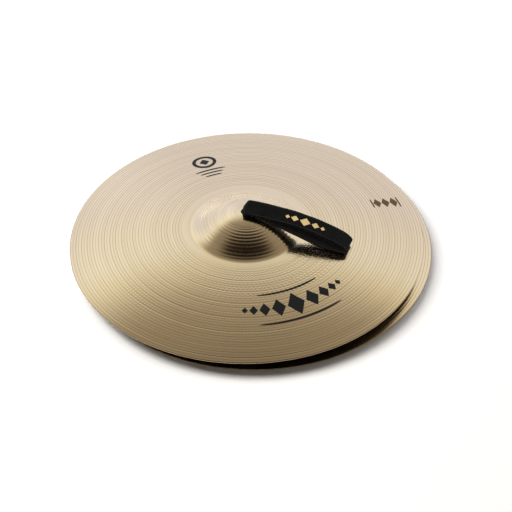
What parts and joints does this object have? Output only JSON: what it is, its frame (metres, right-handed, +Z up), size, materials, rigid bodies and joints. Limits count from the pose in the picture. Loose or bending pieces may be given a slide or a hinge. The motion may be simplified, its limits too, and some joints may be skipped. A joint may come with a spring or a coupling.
{
  "type": "hand cymbals",
  "caption": "Nested pair of round bronze hand cymbals with cups, black webbing hand loops, and knots inside the cups.",
  "frame": {"origin": "under the middle of the nested pair, at the height of the lower rim", "axes": "+Z up along both plates' axes, +X the way the upper hand strap leans"},
  "size_m": [0.4658, 0.4678, 0.0786],
  "materials": {
    "bronze": "lathed cast bronze with fine concentric grooves",
    "webbing": "black woven webbing",
    "lining": "black soft lining",
    "thread": "black sewing thread",
    "thong": "black leather thong",
    "leather": "brown vegetable-tanned leather"
  },
  "bodies": {
    "lower_cymbal": {"lower_plate": "bronze", "lower_washer": "leather"},
    "lower_strap_neck": {"lower_thongs": "thong", "lower_knot": "thong", "lower_knot_tails": "thong"},
    "lower_hand_loop": {"lower_strap_webbing": "webbing", "lower_strap_lining": "lining", "lower_edge_stitching": "thread", "lower_bar_tacks": "thread"},
    "upper_cymbal": {"upper_plate": "bronze", "upper_washer": "leather"},
    "upper_strap_neck": {"upper_thongs": "thong", "upper_knot": "thong", "upper_knot_tails": "thong"},
    "upper_hand_loop": {"upper_strap_webbing": "webbing", "upper_strap_lining": "lining", "upper_edge_stitching": "thread", "upper_bar_tacks": "thread"}
  },
  "joints": [
    {"name": "upper_lift", "type": "slide", "parent": "lower_cymbal", "child": "upper_cymbal", "axis": [0, 0, 1], "range_m": [0, 0.3]},
    {"name": "lower_strap_swivel", "type": "hinge", "parent": "lower_cymbal", "child": "lower_strap_neck", "pos_m": [0.0043, 0.0053, 0.05], "axis": [0, 0, 1], "range_deg": [-90, 90]},
    {"name": "lower_strap_flop", "type": "hinge", "parent": "lower_strap_neck", "child": "lower_hand_loop", "pos_m": [0.0043, 0.0053, 0.055], "axis": [-0.7766, 0.63, 0], "range_deg": [0, 90]},
    {"name": "upper_strap_swivel", "type": "hinge", "parent": "upper_cymbal", "child": "upper_strap_neck", "pos_m": [-0.0043, -0.0053, 0.068], "axis": [0, 0, 1], "continuous": true},
    {"name": "upper_strap_flop", "type": "hinge", "parent": "upper_strap_neck", "child": "upper_hand_loop", "pos_m": [-0.0055, -0.0053, 0.0741], "axis": [0, -1, 0], "range_deg": [0, 175]}
  ],
  "couplings": [
    {"joint": "lower_strap_flop", "follows": "upper_lift", "rad_per_m": 5.2}
  ]
}
